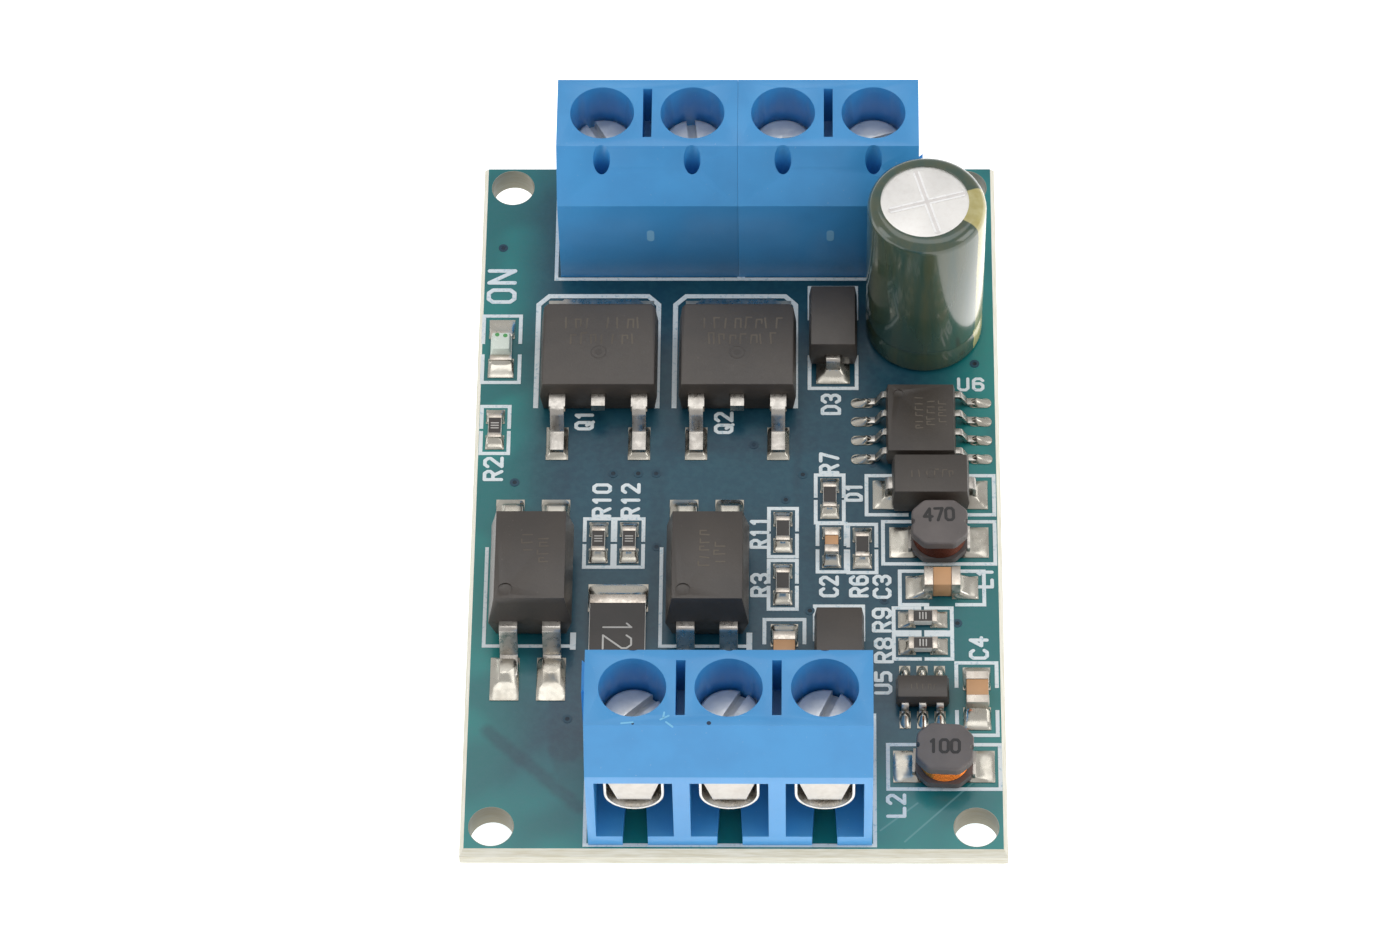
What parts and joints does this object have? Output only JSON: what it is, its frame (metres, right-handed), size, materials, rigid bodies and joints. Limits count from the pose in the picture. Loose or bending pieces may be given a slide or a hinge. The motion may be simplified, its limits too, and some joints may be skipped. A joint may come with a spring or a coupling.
{
  "type": "servo driver board",
  "caption": "Rectangular circuit board with blue screw terminals at both ends, isolated inputs, power transistors and an upright can capacitor.",
  "frame": {"origin": "centre of the four mounting holes on the board's underside", "axes": "+Z out of the component side; +Y along the board, from the 3-pole terminal to the 2-pole terminals; +X to the right seen from the 3-pole end"},
  "size_m": [0.0296, 0.0461, 0.0151],
  "materials": {
    "board_laminate": "glossy blue-green solder mask over glass epoxy",
    "tinned_pads": "tin-dipped copper",
    "solder": "bright solder",
    "blue_nylon": "moulded blue nylon, slight sheen",
    "plated_brass": "tin-plated brass",
    "screw_steel": "zinc-plated turned steel",
    "cage_steel": "zinc-plated sheet steel",
    "can_aluminium": "drawn aluminium",
    "shrink_sleeve": "dark green shrink film with a pale gold stripe",
    "seal_rubber": "moulded rubber",
    "element_paper": "wound foil and paper",
    "tinned_leads": "tin-plated copper alloy",
    "package_epoxy": "fine matt moulded epoxy",
    "ferrite": "ground ferrite",
    "enamelled_copper_dark": "dark red enamelled copper wire",
    "enamelled_copper": "bright enamelled copper wire",
    "alumina": "fired alumina",
    "overcoat": "black glass overcoat",
    "end_cap_tin": "tin-plated end caps",
    "capacitor_ceramic": "tan barium titanate",
    "lamp_white": "white reflector plastic",
    "lamp_lens": "clear epoxy lens"
  },
  "bodies": {
    "board": {"capacitor_can": "can_aluminium", "capacitor_element": "element_paper", "capacitor_leads": "tinned_leads", "capacitor_seal": "seal_rubber", "capacitor_sleeve": "shrink_sleeve", "ceramic_capacitor_bodies": "capacitor_ceramic", "ceramic_capacitor_end_caps": "end_cap_tin", "chip_resistor_bodies": "alumina", "chip_resistor_end_caps": "end_cap_tin", "chip_resistor_overcoats": "overcoat", "circuit_board": "board_laminate", "copper_pads": "tinned_pads", "diode_d1_body": "package_epoxy", "diode_d2_body": "package_epoxy", "diode_d3_body": "package_epoxy", "diode_leads": "tinned_leads", "front_terminal_contacts": "plated_brass", "front_terminal_housing": "blue_nylon", "gate_driver_body": "package_epoxy", "gate_driver_leads": "tinned_leads", "inductor_l1_core": "ferrite", "inductor_l1_winding": "enamelled_copper_dark", "inductor_l2_core": "ferrite", "inductor_l2_winding": "enamelled_copper", "inductor_terminals": "tinned_leads", "lamp_base": "lamp_white", "lamp_lens": "lamp_lens", "lamp_terminals": "end_cap_tin", "left_optocoupler_body": "package_epoxy", "left_optocoupler_leads": "tinned_leads", "power_resistor_body": "alumina", "power_resistor_end_caps": "end_cap_tin", "power_resistor_overcoat": "overcoat", "rear_left_terminal_contacts": "plated_brass", "rear_left_terminal_housing": "blue_nylon", "rear_right_terminal_contacts": "plated_brass", "rear_right_terminal_housing": "blue_nylon", "regulator_body": "package_epoxy", "regulator_leads": "tinned_leads", "right_optocoupler_body": "package_epoxy", "right_optocoupler_leads": "tinned_leads", "solder_joints": "solder", "transistor_q1_body": "package_epoxy", "transistor_q1_leads": "tinned_leads", "transistor_q2_body": "package_epoxy", "transistor_q2_leads": "tinned_leads"},
    "front_screw_1": {"front_clamp_screw_1": "screw_steel"},
    "front_cage_1": {"front_clamp_cage_1": "cage_steel"},
    "front_screw_2": {"front_clamp_screw_2": "screw_steel"},
    "front_cage_2": {"front_clamp_cage_2": "cage_steel"},
    "front_screw_3": {"front_clamp_screw_3": "screw_steel"},
    "front_cage_3": {"front_clamp_cage_3": "cage_steel"},
    "rear_left_screw_1": {"rear_left_clamp_screw_1": "screw_steel"},
    "rear_left_cage_1": {"rear_left_clamp_cage_1": "cage_steel"},
    "rear_left_screw_2": {"rear_left_clamp_screw_2": "screw_steel"},
    "rear_left_cage_2": {"rear_left_clamp_cage_2": "cage_steel"},
    "rear_right_screw_1": {"rear_right_clamp_screw_1": "screw_steel"},
    "rear_right_cage_1": {"rear_right_clamp_cage_1": "cage_steel"},
    "rear_right_screw_2": {"rear_right_clamp_screw_2": "screw_steel"},
    "rear_right_cage_2": {"rear_right_clamp_cage_2": "cage_steel"}
  },
  "joints": [
    {"name": "front_screw_1_turn", "type": "hinge", "parent": "board", "child": "front_screw_1", "pos_m": [-0.00526, -0.01874, 0.0076], "axis": [0, 0, 1], "range_deg": [0, 1044]},
    {"name": "front_cage_1_slide", "type": "slide", "parent": "board", "child": "front_cage_1", "axis": [0, 0, 1], "range_m": [-0.0013, 0]},
    {"name": "front_screw_2_turn", "type": "hinge", "parent": "board", "child": "front_screw_2", "pos_m": [-0.00018, -0.01874, 0.0076], "axis": [0, 0, 1], "range_deg": [0, 1044]},
    {"name": "front_cage_2_slide", "type": "slide", "parent": "board", "child": "front_cage_2", "axis": [0, 0, 1], "range_m": [-0.0013, 0]},
    {"name": "front_screw_3_turn", "type": "hinge", "parent": "board", "child": "front_screw_3", "pos_m": [0.0049, -0.01874, 0.0076], "axis": [0, 0, 1], "range_deg": [0, 1044]},
    {"name": "front_cage_3_slide", "type": "slide", "parent": "board", "child": "front_cage_3", "axis": [0, 0, 1], "range_m": [-0.0013, 0]},
    {"name": "rear_left_screw_1_turn", "type": "hinge", "parent": "board", "child": "rear_left_screw_1", "pos_m": [-0.0076, 0.01929, 0.0076], "axis": [0, 0, 1], "range_deg": [0, 1044]},
    {"name": "rear_left_cage_1_slide", "type": "slide", "parent": "board", "child": "rear_left_cage_1", "axis": [0, 0, 1], "range_m": [-0.0013, 0]},
    {"name": "rear_left_screw_2_turn", "type": "hinge", "parent": "board", "child": "rear_left_screw_2", "pos_m": [-0.00251, 0.01929, 0.0076], "axis": [0, 0, 1], "range_deg": [0, 1044]},
    {"name": "rear_left_cage_2_slide", "type": "slide", "parent": "board", "child": "rear_left_cage_2", "axis": [0, 0, 1], "range_m": [-0.0013, 0]},
    {"name": "rear_right_screw_1_turn", "type": "hinge", "parent": "board", "child": "rear_right_screw_1", "pos_m": [0.00258, 0.01929, 0.0076], "axis": [0, 0, 1], "range_deg": [0, 1044]},
    {"name": "rear_right_cage_1_slide", "type": "slide", "parent": "board", "child": "rear_right_cage_1", "axis": [0, 0, 1], "range_m": [-0.0013, 0]},
    {"name": "rear_right_screw_2_turn", "type": "hinge", "parent": "board", "child": "rear_right_screw_2", "pos_m": [0.00766, 0.01929, 0.0076], "axis": [0, 0, 1], "range_deg": [0, 1044]},
    {"name": "rear_right_cage_2_slide", "type": "slide", "parent": "board", "child": "rear_right_cage_2", "axis": [0, 0, 1], "range_m": [-0.0013, 0]}
  ],
  "couplings": [
    {"joint": "front_screw_1_turn", "follows": "front_cage_1_slide", "rad_per_m": -13963},
    {"joint": "front_screw_2_turn", "follows": "front_cage_2_slide", "rad_per_m": -13963},
    {"joint": "front_screw_3_turn", "follows": "front_cage_3_slide", "rad_per_m": -13963},
    {"joint": "rear_left_screw_1_turn", "follows": "rear_left_cage_1_slide", "rad_per_m": -13963},
    {"joint": "rear_left_screw_2_turn", "follows": "rear_left_cage_2_slide", "rad_per_m": -13963},
    {"joint": "rear_right_screw_1_turn", "follows": "rear_right_cage_1_slide", "rad_per_m": -13963},
    {"joint": "rear_right_screw_2_turn", "follows": "rear_right_cage_2_slide", "rad_per_m": -13963}
  ]
}
